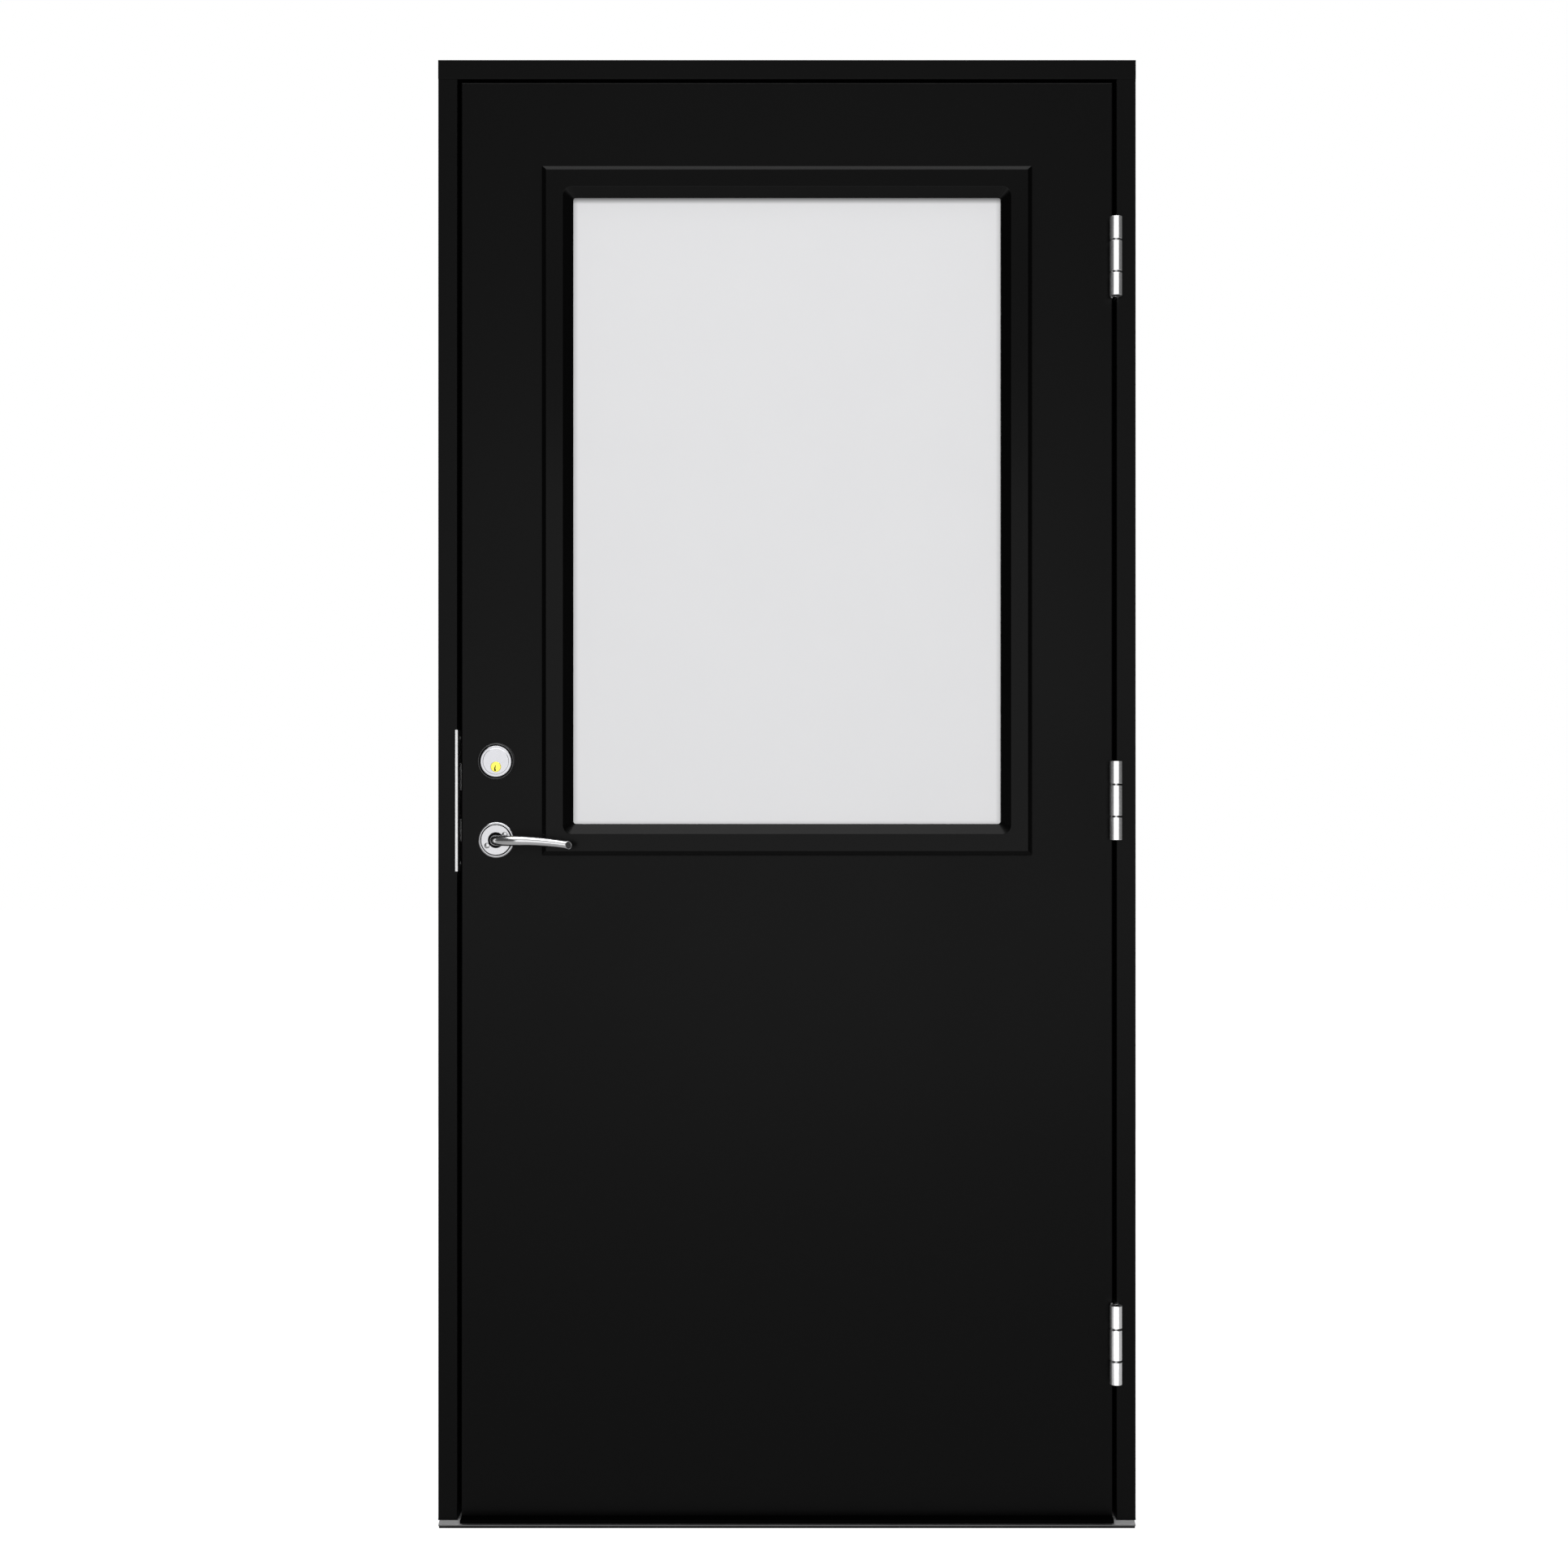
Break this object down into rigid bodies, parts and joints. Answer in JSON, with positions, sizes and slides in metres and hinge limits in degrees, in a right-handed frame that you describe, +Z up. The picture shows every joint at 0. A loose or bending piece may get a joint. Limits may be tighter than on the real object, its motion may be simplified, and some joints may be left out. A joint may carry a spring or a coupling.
{
  "type": "exterior door",
  "caption": "Flush black exterior door hung in its frame, with a tall frosted window, lever handles, a cylinder lock and barrel hinges; the leaf swings outward.",
  "frame": {"origin": "underside of the threshold, middle of the width, in the plane of the frame's outer face", "axes": "+Z up, +X to the hinge side along the wall, +Y from outdoors to indoors"},
  "size_m": [0.99, 0.188, 2.08],
  "materials": {
    "black_paint": "satin black paint",
    "cassette_black": "satin black paint",
    "drip_black": "matt black paint",
    "frosted_glass": "frosted white",
    "clear_glass": "clear",
    "spacer_alloy": "mill",
    "seal_rubber": "matt",
    "sill_alloy": "anodised",
    "zinc_plate": "zinc plated",
    "hinge_zinc": "zinc plated",
    "bolt_steel": "bright",
    "satin_chrome": "satin",
    "ring_dark": "satin dark",
    "plug_brass": "turned"
  },
  "bodies": {
    "frame": {"frame_head": "black_paint", "hinge_jamb": "black_paint", "latch_jamb": "black_paint", "threshold": "sill_alloy", "head_seal": "seal_rubber", "hinge_jamb_seal": "seal_rubber", "latch_jamb_seal": "seal_rubber", "threshold_seal": "seal_rubber", "strike_plate": "zinc_plate", "upper_hinge_frame_plate": "hinge_zinc", "middle_hinge_frame_plate": "hinge_zinc", "lower_hinge_frame_plate": "hinge_zinc", "upper_hinge_pin": "hinge_zinc", "middle_hinge_pin": "hinge_zinc", "lower_hinge_pin": "hinge_zinc"},
    "leaf": {"outer_skin": "black_paint", "inner_skin": "black_paint", "hinge_stile": "black_paint", "latch_stile": "black_paint", "top_rail": "black_paint", "mid_rail": "black_paint", "bottom_rail": "black_paint", "drip_bar": "drip_black", "outer_cassette": "cassette_black", "inner_cassette": "cassette_black", "outer_pane": "frosted_glass", "inner_pane": "clear_glass", "glass_spacer": "spacer_alloy", "lock_faceplate": "zinc_plate", "latch_bolt": "bolt_steel", "dead_bolt": "bolt_steel", "outer_rose": "satin_chrome", "inner_rose": "satin_chrome", "cylinder_ring": "ring_dark", "lock_cylinder": "satin_chrome", "inner_cylinder_rose": "ring_dark", "thumb_turn": "satin_chrome", "upper_hinge_door_plate": "hinge_zinc", "middle_hinge_door_plate": "hinge_zinc", "lower_hinge_door_plate": "hinge_zinc"},
    "lever": {"outer_lever": "satin_chrome", "inner_lever": "satin_chrome", "spindle": "bolt_steel"},
    "key_plug": {"key_plug": "plug_brass"}
  },
  "joints": [
    {"name": "leaf_swing", "type": "hinge", "parent": "frame", "child": "leaf", "pos_m": [0.46475, -0.0145, 1.0295], "axis": [0, 0, 1], "range_deg": [0, 170]},
    {"name": "lever_turn", "type": "hinge", "parent": "leaf", "child": "lever", "pos_m": [-0.412, 0.031, 0.973], "axis": [0, 1, 0], "range_deg": [0, 45], "stiffness_Nm_per_rad": 1, "springref_deg": -34.38},
    {"name": "key_plug_turn", "type": "hinge", "parent": "leaf", "child": "key_plug", "pos_m": [-0.412, 0, 1.0767], "axis": [0, 1, 0], "range_deg": [-90, 90]}
  ]
}
